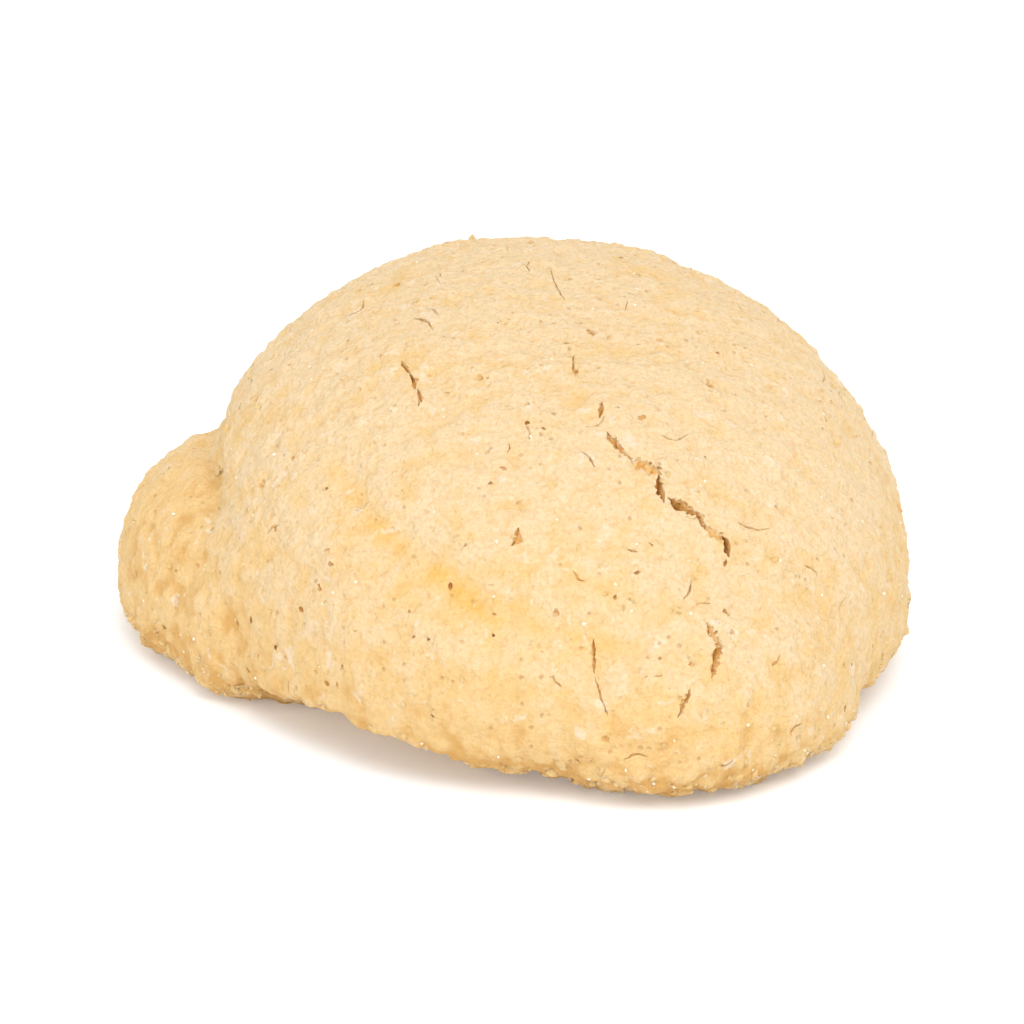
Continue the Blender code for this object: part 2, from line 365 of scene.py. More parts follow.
@dataclass(frozen=True)
class Crease:
    """The soft crease of the shown side and the painted shade along it: its height over across is a falling
    exponential. Sizes in mm.
    """

    span: tuple[float, float] = (-12.8, 2.5)
    drop: float = 11.9
    run: float = 10.1
    foot: float = -2.5
    depth: float = 0.6
    width: float = 2.3
    swell: float = 0.45
    swell_below: float = 2.4
    swell_reach: float = 1.5
    fade: float = 2.2
    # The painted shade along the crease: a golden line, strongest near its peak, and a wide, faint halo below
    # it.
    gold: float = 0.55
    gold_peak: float = 0.90
    peak_across: float = -4.0
    peak_reach: float = 3.6
    line_below: float = 0.1
    line_width: float = 0.9
    halo: float = 0.30
    halo_below: float = 2.2
    halo_width: float = 2.6

    def apart(self, across: np.ndarray, up: np.ndarray) -> tuple[np.ndarray, np.ndarray]:
        """How far places are above the crease, and how much of it is there.

        Args:
            across: Places across the view, in mm.
            up: Places up the view, in mm.

        Returns:
            Distances above the crease in mm, and a share that fades at its ends.
        """
        fall = self.drop * np.exp(np.clip((self.span[0] - across) / self.run, -8, 2.5))
        above = (up - self.foot - fall) / np.hypot(1.0, fall / self.run)
        beyond = np.maximum(0.0, np.maximum(self.span[0] - across, across - self.span[1]))
        return above, bell(beyond, self.fade)

    def offset(self, across: np.ndarray, up: np.ndarray) -> np.ndarray:
        """How far the skin moves out at places of the shown side.

        Args:
            across: Places across the view, in mm.
            up: Places up the view, in mm.

        Returns:
            The moves, in mm.
        """
        above, share = self.apart(across, up)
        groove = self.depth * bell(above, self.width)
        swell = self.swell * bell(above / self.width + self.swell_below, self.swell_reach)
        return (swell - groove) * share

    def shade_streak(self, across: np.ndarray, up: np.ndarray) -> np.ndarray:
        """Painted shade along the crease groove, darker and more golden: a thin line in a wide, faint one.

        Args:
            across: Places across the view, in mm.
            up: Places up the view, in mm.

        Returns:
            Shares from 0 to 1.
        """
        above, share = self.apart(across, up)
        line = self.gold + self.gold_peak * bell(across - self.peak_across, self.peak_reach)
        line = line * bell(above + self.line_below, self.line_width)
        return np.clip(line + self.halo * bell(above + self.halo_below, self.halo_width), 0.0, 1.0) * share


@dataclass(frozen=True)
class Shoulder:
    """The short upright crease where the lobe runs into the dome, and the painted shade beside it. Sizes in
    mm.
    """

    across: float = -23.1
    span: tuple[float, float] = (9.0, 16.0)
    depth: float = 0.50
    width: float = 0.70
    fade: float = 1.8
    # How far the painted shade reaches onto the lobe, in mm.
    shoulder_shade: float = 3.4
    sway: float = 0.25
    sway_rate: float = 1.1

    def apart(self, across: np.ndarray, up: np.ndarray) -> tuple[np.ndarray, np.ndarray]:
        """How far places are to the right of the crease, and how much of it is there.

        Args:
            across: Places across the view, in mm.
            up: Places up the view, in mm.

        Returns:
            Distances to the right in mm, and a share that fades at its ends.
        """
        beyond = np.maximum(0.0, np.maximum(self.span[0] - up, up - self.span[1]))
        return across - self.across + self.sway * np.sin(up * self.sway_rate), bell(beyond, self.fade)

    def offset(self, across: np.ndarray, up: np.ndarray) -> np.ndarray:
        """How far the skin moves out at places of the shown side.

        Args:
            across: Places across the view, in mm.
            up: Places up the view, in mm.

        Returns:
            The moves, in mm.
        """
        beside, share = self.apart(across, up)
        return -self.depth * bell(beside, self.width) * share

    def shade(self, across: np.ndarray, up: np.ndarray) -> np.ndarray:
        """Painted shade: how much darker the lobe is painted beside the crease, where shade falls.

        Args:
            across: Places across the view, in mm.
            up: Places up the view, in mm.

        Returns:
            Shares from 0 to 1.
        """
        beside, share = self.apart(across, up)
        reach = np.where(beside < 0, self.shoulder_shade, 0.5 * self.width)
        return bell(beside, reach) * share


@dataclass(frozen=True)
class Crack:
    """A crack of the shown side: its corners, its widths at the skin at even places, and its depth, in mm."""

    corners: tuple[tuple[float, float], ...]
    widths: tuple[float, ...]
    depth: float


# The main crack is a chain of short tears, some deep and some only scars, with bridges of dough between them.
MAIN_CRACK = (
    Crack(((3.80, 16.15), (3.62, 15.0)), (0.18, 0.30, 0.16), 0.45),
    Crack(((4.15, 14.1), (4.35, 13.6), (5.05, 12.9), (5.95, 11.9)), (0.26, 0.60, 0.42, 0.24, 0.20), 0.55),
    Crack(((5.65, 12.15), (6.5, 11.75), (7.1, 11.55), (7.85, 11.15)), (0.30, 0.95, 1.10, 0.80, 0.34), 0.36),
    Crack(((7.6, 11.2), (7.70, 10.3), (7.98, 9.2)), (0.30, 0.46, 0.42, 0.20), 1.0),
    Crack(((8.20, 9.60), (8.9, 9.1), (9.45, 8.8), (10.3, 8.4)), (0.24, 0.66, 0.78, 0.48, 0.24), 1.2),
    Crack(((10.1, 8.7), (10.5, 8.2), (10.85, 7.3)), (0.22, 0.40, 0.32, 0.24), 0.75),
    Crack(((10.65, 7.65), (11.4, 7.15), (12.1, 6.70)), (0.28, 0.74, 0.74, 0.30), 0.42),
    Crack(((11.95, 7.0), (12.3, 6.4), (12.4, 5.5)), (0.22, 0.44, 0.52, 0.24), 1.05),
    Crack(((12.2, 5.4), (12.1, 4.9)), (0.18, 0.26, 0.16), 0.35),
)
OTHER_CRACKS = (
    Crack(((-9.9, 19.0), (-9.3, 18.0)), (0.16, 0.36, 0.28, 0.18), 0.42),
    Crack(((-9.35, 18.1), (-8.95, 17.5), (-8.95, 17.0)), (0.16, 0.36, 0.32, 0.18), 0.55),
    Crack(((-8.8, 17.1), (-8.55, 16.4), (-8.75, 15.8)), (0.16, 0.32, 0.28, 0.14), 0.50),
    Crack(((10.8, 1.2), (11.2, 0.4), (11.95, -0.5)), (0.24, 0.48, 0.58, 0.36), 0.50),
    Crack(((11.9, -0.4), (11.35, -1.2), (11.45, -1.7), (11.1, -2.6)), (0.34, 0.58, 0.46, 0.44, 0.20), 0.58),
    Crack(((3.1, 0.1), (3.2, -1.2), (3.25, -2.3)), (0.16, 0.30, 0.26, 0.14), 0.30),
    Crack(((3.3, -2.6), (3.6, -3.8), (4.1, -5.1)), (0.12, 0.20, 0.16, 0.10), 0.22),
    Crack(((9.7, -3.3), (9.5, -4.0), (8.8, -5.3)), (0.26, 0.32, 0.22, 0.12), 0.36),
    Crack(((0.3, 25.5), (0.6, 24.3), (1.3, 23.2)), (0.08, 0.14, 0.12, 0.08), 0.18),
    Crack(((-1.9, 7.6), (-2.0, 6.9), (-2.4, 6.3)), (0.20, 0.48, 0.40, 0.22), 0.45),
)

# Pits of the shown side: across, up and width, in mm.
SHOWN_PITS = (
    (3.1, 21.0, 0.85), (1.4, 20.2, 0.42), (2.0, 18.2, 0.50), (6.1, 4.5, 0.46), (4.6, 2.9, 0.50),
    (-2.9, 11.6, 0.36), (-17.3, 12.3, 0.46), (-18.5, 7.5, 0.46), (-9.3, 1.9, 0.36), (-1.3, 14.7, 0.50),
    (0.5, 15.3, 0.42), (-6.5, 3.6, 0.46), (-14.7, 5.1, 0.42), (-16.7, 2.0, 0.38), (-18.5, -0.6, 0.50),
    (-3.6, 0.3, 0.40), (-0.2, 14.3, 0.38), (-20.2, 1.2, 0.50), (-15.0, 10.2, 0.42), (-8.0, 0.0, 0.40),
    (-7.7, -5.2, 0.42), (-3.8, 10.6, 0.36), (8.0, 24.4, 0.38), (-26.3, 0.7, 0.38), (12.1, 1.9, 0.34),
)

# Short curved hairlines of the shown side: across, up, heading in degrees and length, in mm.
SHOWN_HAIRLINES = (
    (14.0, 7.7, -10, 2.4), (8.8, 13.9, 3, 2.0), (-13.1, 22.8, 47, 1.6), (-8.4, 21.5, -33, 1.6),
    (9.5, 3.4, 71, 1.5), (10.5, 2.3, 13, 1.3), (2.8, 12.2, 132, 1.5), (17.0, -6.1, 50, 1.2),
    (20.5, 16.4, 111, 1.4), (6.0, -8.0, 6, 1.6), (2.2, 4.3, -42, 1.1), (-18.6, 7.4, 40, 1.1),
    (19.1, 18.1, 84, 1.1), (2.0, 18.6, 93, 1.5), (-1.3, 14.1, 104, 1.2), (23.4, -2.1, 70, 1.5),
    (12.1, -8.3, 22, 1.1), (0.7, -2.8, 129, 1.0), (3.3, 14.8, 28, 1.6), (5.8, 6.0, -17, 0.8),
    (-7.9, 22.4, -30, 1.2), (-22.5, 11.5, 50, 1.2), (15.5, -1.4, 60, 1.0), (-12.6, 9.0, 30, 1.1),
    (18.0, 4.6, -40, 1.2),
)

# Pale, smooth flecks of the shown side: across, up, heading in degrees, length and width, in mm.
SHOWN_FLECKS = (
    (5.6, 13.6, 111, 1.9, 1.3), (3.5, 13.9, 5, 1.5, 0.9), (2.4, 15.6, -4, 2.2, 0.7),
    (-4.9, 13.6, -31, 1.6, 0.8), (6.0, 5.2, -39, 1.2, 0.9), (-3.1, 10.9, 92, 1.1, 1.0),
    (6.3, 24.0, -25, 1.6, 0.7), (-6.4, 17.4, 108, 1.1, 0.6), (-10.2, 9.2, 11, 1.3, 0.6),
    (13.2, 9.6, 5, 2.4, 0.7), (15.2, 9.1, 0, 1.5, 0.6), (7.7, 20.2, 126, 1.5, 0.5),
    (-12.5, 14.8, 47, 1.0, 0.7), (7.1, -6.0, -14, 1.4, 0.6), (12.6, 0.4, -42, 1.8, 0.9),
    (17.7, 12.0, 88, 1.8, 0.5), (-18.6, 10.6, 61, 0.9, 0.7), (16.2, 15.0, 53, 1.0, 0.6),
    (-6.4, 20.8, 20, 1.2, 0.6), (1.4, 22.9, 15, 1.6, 0.6),
)


@dataclass
class Marks:
    """Everything that is cut into the skin: closed wedges and pips, in layers within which none overlap.

    A wedge's section has five corners: two above the skin, wider by the flare, two knees and its edge. The
    knees' depth and width are shares of the wedge's own.
    """

    tree: BVHTree
    rng: np.random.Generator
    layers: list = field(default_factory=list)
    step_mm: float = 0.19
    rise_mm: float = 0.25
    flare: float = 1.3
    knee_depth: float = 0.45
    knee_width: float = 0.8
    looseness: float = 0.13
    width_range: tuple[float, float] = (0.62, 1.38)
    depth_range: tuple[float, float] = (0.75, 1.2)
    nibble_range: tuple[float, float] = (0.18, 0.42)
    nibble_sunk: float = 0.25
    lump_range: tuple[float, float] = (-0.34, 0.30)
    stretch_range: tuple[float, float] = (0.55, 1.35)

    def path(self, corners: tuple, jag: float) -> list[Vector]:
        """Rounds a line of corners off, then lets its even, short steps stray a little.

        Args:
            corners: Places across and up, in mm.
            jag: How far a step may stray, in mm.

        Returns:
            Places along the path.
        """
        spots = np.array([tuple(corner) for corner in corners], dtype=float)
        along = np.concatenate([[0.0], np.cumsum(np.linalg.norm(np.diff(spots, axis=0), axis=1))])
        steps = max(3, round(along[-1] / self.step_mm))
        marks = np.linspace(0.0, along[-1], steps + 1)
        line = np.stack([np.interp(marks, along, spots[:, axis]) for axis in range(2)], axis=1)
        for _ in range(2):
            line[1:-1] = (line[:-2] + 2 * line[1:-1] + line[2:]) / 4
        stray = self.rng.uniform(-jag, jag, (steps + 1, 2))
        stray[1:] = (stray[1:] + stray[:-1]) / 2
        line[1:-1] += stray[1:-1]
        return [Vector(spot) for spot in line]

    def add(self, points: np.ndarray, faces: list) -> None:
        """Adds a closed shape to the first layer where it overlaps no other, because a cut needs them apart.

        Args:
            points: Its points, in metres.
            faces: Corner numbers of each face.
        """
        low, high = points.min(0), points.max(0)
        for layer in self.layers:
            if all((low > top).any() or (high < bottom).any() for bottom, top, _, _ in layer):
                layer.append((low, high, points, faces))
                return
        self.layers.append([(low, high, points, faces)])

    def wedge(
        self,
        sight: Sight,
        corners: tuple,
        widths: tuple,
        depth: float,
        jag: float = 0.05,
        nibbled: bool = False,
    ) -> None:
        """Adds a ragged wedge that follows the skin, edge down, thin at both ends.

        Args:
            sight: The side that its places are seen from.
            corners: Places across and up, in mm.
            widths: Width at the skin at even places along it, in mm.
            depth: Depth at its widest, in mm.
            jag: How far it strays, in mm.
            nibbled: Whether crumbs have fallen out of its edges.
        """
        spots = [sight.drop(self.tree, place.x, place.y) for place in self.path(corners, jag)]
        if any(place is None for place, _ in spots):
            return
        last = len(spots) - 1
        marks = np.linspace(0.0, 1.0, len(widths))
        widest = max(widths)
        rows = []
        for index, (place, normal) in enumerate(spots):
            share = index / last
            width = float(np.interp(share, marks, widths)) * min(1.0, 5 * min(share, 1 - share) + 0.15)
            deep = depth * (0.35 + 0.65 * width / widest) * self.rng.uniform(*self.depth_range) * MM
            ahead = spots[min(last, index + 3)][0] - spots[max(0, index - 3)][0]
            aside = normal.cross(ahead).normalized()
            left, right = (width / 2 * self.rng.uniform(*self.width_range) * MM for _ in range(2))
            top = place + normal * self.rise_mm * MM
            knee = place - normal * deep * self.knee_depth
            section = [
                top - aside * left * self.flare,
                top + aside * right * self.flare,
                knee + aside * right * self.knee_width,
                place - normal * deep + aside * (right - left) / 2,
                knee - aside * left * self.knee_width,
            ]
            loose = self.rng.uniform(-self.looseness, self.looseness, (len(section), 3)) * width * MM
            rows += [spot + Vector(shift) for spot, shift in zip(section, loose)]
            if nibbled and index % 2 and 1 < index < last - 1:
                edge = place + aside * width / 2 * self.rng.choice((-1.0, 1.0)) * MM
                self.pip(edge, normal, self.rng.uniform(*self.nibble_range), self.nibble_sunk)
        ring = len(rows) // len(spots)
        faces = []
        for row in range(last):
            for side in range(ring):
                here, beside = row * ring + side, row * ring + (side + 1) % ring
                faces.append((here, here + ring, beside + ring, beside))
        faces += [tuple(range(ring)), tuple(last * ring + side for side in reversed(range(ring)))]
        self.add(np.array(rows), faces)

    def pip(self, place: Vector, normal: Vector, width: float, sunk: float = 0.2) -> None:
        """Adds a lumpy ball that cuts a pit.

        Args:
            place: The point on the skin.
            normal: The skin's normal there.
            width: The pit's width, in mm.
            sunk: How far the ball's middle is under the skin, as a share of its radius.
        """
        shape, faces = BALL
        lumps = 1 + self.rng.uniform(*self.lump_range, len(shape))
        stretch = self.rng.uniform(*self.stretch_range, 3)
        turn = random_turn(self.rng, math.pi)
        radius = width / 2 * MM
        rows = (shape * lumps[:, None] * stretch * radius) @ turn.T
        self.add(rows + np.array(place - normal * radius * sunk), faces)

    def cut(self, body: bpy.types.Object) -> None:
        """Cuts the marks out of the body, one layer after another.

        Args:
            body: What is cut.
        """
        for layer in self.layers:
            corners, first = [], 0
            for _, _, points, faces in layer:
                corners.extend([tuple(corner + first for corner in face) for face in faces])
                first += len(points)
            made = mesh_piece("marks", np.concatenate([points for _, _, points, _ in layer]), corners)
            pick(made)
            bpy.ops.object.mode_set(mode="EDIT")
            bpy.ops.mesh.select_all(action="SELECT")
            bpy.ops.mesh.quads_convert_to_tris()
            bpy.ops.mesh.normals_make_consistent(inside=False)
            bpy.ops.object.mode_set(mode="OBJECT")
            cut_or_join(body, made, Join.CUT, Solver.FAST)


def ball_shape(subdivisions: int) -> tuple[np.ndarray, list]:
    """Models a unit ball.

    Args:
        subdivisions: How fine it is.

    Returns:
        Its rows of points and its faces.
    """
    deselect()
    bpy.ops.mesh.primitive_ico_sphere_add(subdivisions=subdivisions, radius=1.0, location=(0, 0, 0))
    ball = bpy.context.active_object
    shape = points_of(ball)
    faces = [tuple(face.vertices) for face in ball.data.polygons]
    bpy.data.objects.remove(ball)
    return shape, faces


BALL = ball_shape(2)


@dataclass(frozen=True)
class BakingAndShade:
    """How much darker and more golden each part of the skin is painted: browner towards the bottom, at the
    rim and where it faces down; painted shade on the left and painted light on the right, where more light
    falls; and the shoulder's painted shade. Weights first, then heights and places in mm.
    """

    low: float = 0.90
    rim: float = 0.44
    left: float = 0.24
    down: float = 0.35
    shoulder_shade: float = 0.32
    right: float = -0.12
    low_from: float = 19.0
    low_to: float = 1.0
    rim_from: float = 4.0
    rim_to: float = 0.2
    left_span: tuple[float, float] = (-4.0, -25.0)
    right_span: tuple[float, float] = (10.0, 26.0)
    most: float = 1.5

    def shade(self, points: np.ndarray, normals: np.ndarray, shoulder_shade: np.ndarray) -> np.ndarray:
        """How much darker and more golden points are painted.

        Args:
            points: The body's points, in metres.
            normals: Their normals.
            shoulder_shade: How much the shoulder's painted shade darkens them, from 0 to 1.

        Returns:
            A value for each, from 0 to the most.
        """
        side, height = points[:, 0] / MM, points[:, 2] / MM
        brown = self.low * smooth_step(self.low_from, self.low_to, height)
        brown += self.rim * smooth_step(self.rim_from, self.rim_to, height)
        # Painted light: darker on the left and lighter on the right, where more light falls.
        brown += self.left * smooth_step(*self.left_span, side)
        brown += self.right * smooth_step(*self.right_span, side)
        brown += self.down * smooth_step(0.0, -0.8, normals[:, 2])
        return np.clip(brown + self.shoulder_shade * shoulder_shade, 0.0, self.most)


@dataclass
class DoughBody:
    """The biscuit itself: mounds run together, creased, roughened, cracked, pitted and cut flat below."""

    dome: Mound = Mound((0.3, -1.2), (24.7, 30.2), 25.5, 4.7, 2.3, (-0.01, 0.06), -0.06)
    lobe: Mound = Mound((-13.1, 2.2), (16.6, 16.4), 13.9, 3.0, 2.8)
    web: Mound = Mound((-14.2, -5.6), (12.0, 10.6), 12.0, 3.2, 2.4)
    foot: Mound = Mound((7.6, -14.8), (14.2, 18.5), 16.5, 3.6, 2.2)
    arch_centre: tuple[float, float, float] = (-13.5, -22.5, -0.4)
    arch_radii: tuple[float, float, float] = (12.0, 7.0, 3.8)
    arch_turn: float = math.radians(-38)
    crease: Crease = Crease()
    shoulder: Shoulder = Shoulder()
    healed: Shoulder = Shoulder(-22.4, (-1.0, 5.5), -0.5, 1.5, 2.2)
    baking_and_shade: BakingAndShade = BakingAndShade()
    skin_voxel: float = 0.55
    fine_voxel: float = 0.36
    rim_lumps: int = 66
    seed: int = 5
    fissures: int = 70
    loose_pits: int = 260
    loose_flecks: int = 90
    hidden_cracks: int = 5
    hidden_turns: tuple[float, float] = (math.radians(125), math.radians(235))
    nibbled_from: float = 0.3
    hairline_widths: tuple[float, ...] = (0.10, 0.22, 0.18, 0.08)

    def form(self) -> bpy.types.Object:
        """Runs the mounds together, softens and creases them, and gives them the dough's slow relief.

        Returns:
            The form, not yet cut flat below.
        """
        body = self.dome.build("dough_body")
        rng = np.random.default_rng(self.seed)
        for name, mound in (("lobe", self.lobe), ("web", self.web), ("foot", self.foot)):
            cut_or_join(body, mound.build(name), Join.ADD, Solver.EXACT)
        deselect()
        bpy.ops.mesh.primitive_ico_sphere_add(subdivisions=4, radius=1.0, location=(0, 0, 0))
        arch = bpy.context.active_object
        arch.data.transform(Matrix.Diagonal((*(Vector(self.arch_radii) * MM), 1.0)))
        arch.data.transform(
            Matrix.Translation(Vector(self.arch_centre) * MM) @ Matrix.Rotation(self.arch_turn, 4, "Z")
        )
        cut_or_join(body, arch, Join.CUT, Solver.EXACT)
        self.skin(body, self.skin_voxel, 12)
        self.press(body, (self.crease,))
        for noise in DOUGH_RELIEF:
            roughen(body, noise)
        self.add_lumps(body, rng)
        return body

    def add_lumps(self, body: bpy.types.Object, rng: np.random.Generator) -> None:
        """Presses lumps of dough into the rim all round, the largest first.

        Args:
            body: What they are pressed into.
            rng: The random draws.
        """
        tree = tree_of(body)
        shape, faces = BALL
        rows, corners, first = [], [], 0
        sizes = sorted(rng.uniform(0.8, 1.7, self.rim_lumps), reverse=True)
        for number, width in enumerate(sizes):
            turn = number * math.pi * (3 - math.sqrt(5)) + rng.uniform(-0.05, 0.05)
            outward = Vector((math.cos(turn), math.sin(turn), 0.0))
            level = 0.4 + 3.0 * rng.random() ** 2
            place, normal, _, _ = tree.ray_cast(outward * 0.06 + Vector((0, 0, level * MM)), -outward)
            if place is None:
                continue
            radii = width / 2 * MM * rng.uniform(0.7, 1.15, 3)
            spin = random_turn(rng, math.pi)
            lumps = 1 + rng.uniform(-0.15, 0.15, len(shape))
            middle = np.array(place - normal * min(radii) * 0.45)
            rows.append((shape * lumps[:, None] * radii) @ spin.T + middle)
            corners.extend([tuple(corner + first for corner in face) for face in faces])
            first += len(shape)
        lumps = mesh_piece("lumps", np.concatenate(rows), corners)
        deselect()
        lumps.select_set(True)
        body.select_set(True)
        bpy.context.view_layer.objects.active = body
        bpy.ops.object.join()

    def skin(self, body: bpy.types.Object, voxel_mm: float, smoothing: int) -> None:
        """Skins the body evenly.

        Args:
            body: What is skinned.
            voxel_mm: The size of the new faces.
            smoothing: Rounds of smoothing after it.
        """
        remesh = body.modifiers.new("skin", "REMESH")
        remesh.mode = "VOXEL"
        remesh.voxel_size = voxel_mm * MM
        soften = body.modifiers.new("soften", "SMOOTH")
        soften.factor = 0.5
        soften.iterations = smoothing
        apply_all(body)

    def seen(self, points: np.ndarray) -> tuple[np.ndarray, np.ndarray]:
        """Where points are across and up the shown side's view, in mm."""
        across, up, _ = Sight().ways()
        return points @ np.array(across) / MM, points @ np.array(up) / MM

    def facing(self, normals: np.ndarray, spread: float = 0.0) -> np.ndarray:
        """How much normals face the shown side, from 0 to 1. A spread takes in more of what turns away."""
        return np.clip(-2 * normals @ np.array(Sight().ways()[2]) + spread, 0.0, 1.0)

    def press(self, body: bpy.types.Object, creases: tuple, spread: float = 0.0) -> None:
        """Presses creases into the shown side.

        Args:
            body: What they are pressed into.
            creases: The creases.
            spread: How much of what turns away is pressed too.
        """
        points, normals = points_of(body), normals_of(body)
        seen = self.seen(points)
        offset = sum(crease.offset(*seen) for crease in creases) * self.facing(normals, spread)
        move_points(body, points + normals * (offset * MM)[:, None])

    def refine(self, body: bpy.types.Object) -> BVHTree:
        """Gives the body its fine skin and the sandy relief of the crumb.

        Args:
            body: The form.

        Returns:
            Its surface before the relief, to tell the crumb's tops from its hollows.
        """
        finer = body.modifiers.new("finer", "SUBSURF")
        finer.levels = finer.render_levels = 1
        apply_all(body)
        self.skin(body, self.fine_voxel, 2)
        self.press(body, (self.shoulder, self.healed), 1.0)
        height = points_of(body)[:, 2] / MM
        smooth = tree_of(body)
        rim = body.vertex_groups.new(name="rim")
        for index, weight in enumerate(smooth_step(5.0, 0.8, height)):
            if weight > 0:
                rim.add((index,), float(weight), "REPLACE")
        for noise in CRUMB_RELIEF:
            roughen(body, noise)
        return smooth

    def cut_marks(self, body: bpy.types.Object) -> None:
        """Cuts the cracks, hairlines, fissures and pits into the skin.

        Args:
            body: The refined body.
        """
        marks = Marks(tree_of(body), np.random.default_rng(self.seed + 1))
        self.mark_shown_cracks(marks)
        self.mark_hidden_cracks(marks)
        self.mark_fissures(marks)
        self.mark_pits(marks)
        LOG.info("cuts in %d layers", len(marks.layers))
        marks.cut(body)

    def mark_shown_cracks(self, marks: Marks) -> None:
        """Marks the cracks and hairlines of the shown side.

        Args:
            marks: What they are added to.
        """
        for crack in MAIN_CRACK + OTHER_CRACKS:
            nibbled = crack.depth > self.nibbled_from
            marks.wedge(Sight(), crack.corners, crack.widths, crack.depth, 0.07, nibbled)
        for across, up, heading, length in SHOWN_HAIRLINES:
            corners = self.arc(marks.rng, Vector((across, up)), math.radians(heading), length)
            marks.wedge(Sight(), corners, self.hairline_widths, marks.rng.uniform(0.14, 0.26), 0.07)

    def mark_hidden_cracks(self, marks: Marks) -> None:
        """Marks a few short cracks on the sides that the photograph doesn't show.

        Args:
            marks: What they are added to.
        """
        rng = marks.rng
        for _ in range(self.hidden_cracks):
            sight = Sight(rng.uniform(*self.hidden_turns))
            middle = Vector((rng.uniform(-17, 17), rng.uniform(-3, 12)))
            corners = self.arc(rng, middle, rng.uniform(0, math.pi), rng.uniform(1.6, 4.0))
            marks.wedge(sight, corners, (0.16, rng.uniform(0.3, 0.5), 0.35, 0.14), 0.7)

    def mark_fissures(self, marks: Marks) -> None:
        """Marks fine, short fissures all round.

        Args:
            marks: What they are added to.
        """
        rng = marks.rng
        for _ in range(self.fissures):
            sight = Sight(rng.uniform(0, 2 * math.pi))
            middle = Vector((rng.uniform(-25, 25), rng.uniform(-9, 26)))
            corners = self.arc(rng, middle, rng.uniform(0, math.pi), 0.4 + 1.1 * rng.random() ** 2)
            width = rng.uniform(0.12, 0.26)
            widths = (0.5 * width, width, width, 0.4 * width)
            marks.wedge(sight, corners, widths, rng.uniform(0.10, 0.22), 0.08)

    def mark_pits(self, marks: Marks) -> None:
        """Marks the pits of the shown side, and loose ones all round.

        Args:
            marks: What they are added to.
        """
        rng = marks.rng
        for across, up, width in SHOWN_PITS:
            place, normal = Sight().drop(marks.tree, across, up)
            if place is not None:
                marks.pip(place, normal, width * 1.1, 0.3)
        for _ in range(self.loose_pits):
            sight = Sight(rng.uniform(0, 2 * math.pi))
            place, normal = sight.drop(marks.tree, rng.uniform(-26, 26), rng.uniform(-9, 27))
            if place is not None:
                marks.pip(place, normal, 0.24 + 0.42 * rng.random() ** 2, -0.15)

    def arc(self, rng: np.random.Generator, middle: Vector, heading: float, length: float) -> tuple:
        """Corners of a short line that bends one way.

        Args:
            rng: The random draws.
            middle: The middle of it, in mm.
            heading: Its direction, in radians.
            length: Its whole length, in mm.

        Returns:
            Its corners.
        """
        along = Vector((math.cos(heading), math.sin(heading))) * (length / 2)
        aside = Vector((-along.y, along.x)) * rng.uniform(0.15, 0.55) * rng.choice((-1, 1))
        lean = rng.uniform(-0.3, 0.3)
        return (middle - along, middle + along * lean + aside, middle + along)

    def flatten(self, body: bpy.types.Object) -> None:
        """Cuts the base flat at the table and closes it.

        Args:
            body: The body with its marks.
        """
        pick(body)
        bpy.ops.object.mode_set(mode="EDIT")
        bpy.ops.mesh.select_all(action="SELECT")
        bpy.ops.mesh.bisect(
            plane_co=(0, 0, 0), plane_no=(0, 0, 1), use_fill=True, clear_inner=True, threshold=1e-7
        )
        bpy.ops.object.mode_set(mode="OBJECT")

    def tint(self, body: bpy.types.Object, skin: BVHTree, smooth: BVHTree) -> None:
        """Writes where the dough is creased, cut, browner and in painted shade, for its material.

        Args:
            body: The finished body.
            skin: Its surface before anything was cut into it.
            smooth: Its surface before the crumb's relief.
        """
        points, normals = points_of(body), normals_of(body)
        cavity = np.array([skin.find_nearest(Vector(point))[3] for point in points]) / MM
        cavity[points[:, 2] < 0.02 * MM] = 0.0
        rise = np.array([self.above(smooth, Vector(point)) for point in points])
        seen = self.seen(points)
        # Painted shade on the lobe beside the shoulder, on the shown side only.
        shoulder_shade = self.shoulder.shade(*seen) * (points[:, 1] < 0)
        for name, values in (
            ("cavity", np.clip(cavity, 0.0, 1.5)),
            # Painted shade along the crease groove.
            ("crease", self.crease.shade_streak(*seen) * self.facing(normals)),
            # Browner low, at the rim and facing down, with painted shade on the left and at the shoulder and
            # painted light on the right.
            ("toast_and_shade", self.baking_and_shade.shade(points, normals, shoulder_shade)),
            # How far the crumb rises above its smooth surface, for the painted shade in its hollows.
            ("rise", np.clip(rise, -1.0, 1.0)),
            ("fleck", self.flecks(points, normals, skin)),
        ):
            made = body.data.attributes.new(name, "FLOAT", "POINT")
            made.data.foreach_set("value", values.astype(np.float32))

    def above(self, surface: BVHTree, point: Vector) -> float:
        """How far a point is above a surface, in mm, below nothing where it is under it."""
        place, normal, _, _ = surface.find_nearest(point)
        return (point - place).dot(normal) / MM

